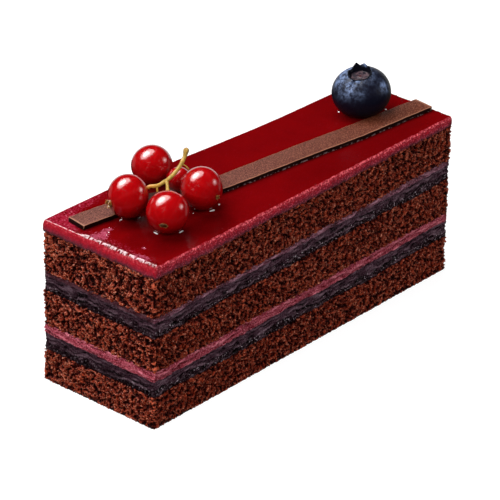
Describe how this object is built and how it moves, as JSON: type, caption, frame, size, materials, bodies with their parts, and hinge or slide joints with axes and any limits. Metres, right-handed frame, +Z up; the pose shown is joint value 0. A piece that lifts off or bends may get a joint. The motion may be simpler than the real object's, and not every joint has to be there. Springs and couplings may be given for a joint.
{
  "type": "glazed layered chocolate cake bar",
  "caption": "Cut bar of layered chocolate sponge and dark berry filling under a red glaze, topped with a slanted chocolate strip, red currants on a stalk and a blueberry.",
  "frame": {"origin": "middle of the underside of the bar's bounding box, on the surface it rests on", "axes": "+X along the bar, from its wide end to its narrow end; +Y across it, towards the long side cut at an angle; +Z up"},
  "size_m": [0.1068, 0.0346, 0.0563],
  "materials": {
    "sponge": "matte open crumb",
    "filling": "moist, streaky",
    "pink_cream": "moist, satin",
    "mauve_film": "moist, satin",
    "glaze": "mirror gloss, slightly clear",
    "chocolate": "satin",
    "currant": "glossy skin, clear red flesh",
    "stalk": "satin plant skin",
    "blueberry": "dark skin with pale bloom"
  },
  "bodies": {
    "root": {"sponge_bottom": "sponge", "filling_lower": "filling", "cream_pink": "pink_cream", "sponge_middle": "sponge", "filling_upper": "filling", "film_mauve": "mauve_film", "sponge_top": "sponge", "glaze": "glaze", "chocolate_strip": "chocolate", "currant_1": "currant", "currant_2": "currant", "currant_3": "currant", "currant_4": "currant", "currant_5": "currant", "currant_stalk": "stalk", "blueberry": "blueberry"}
  },
  "joints": []
}
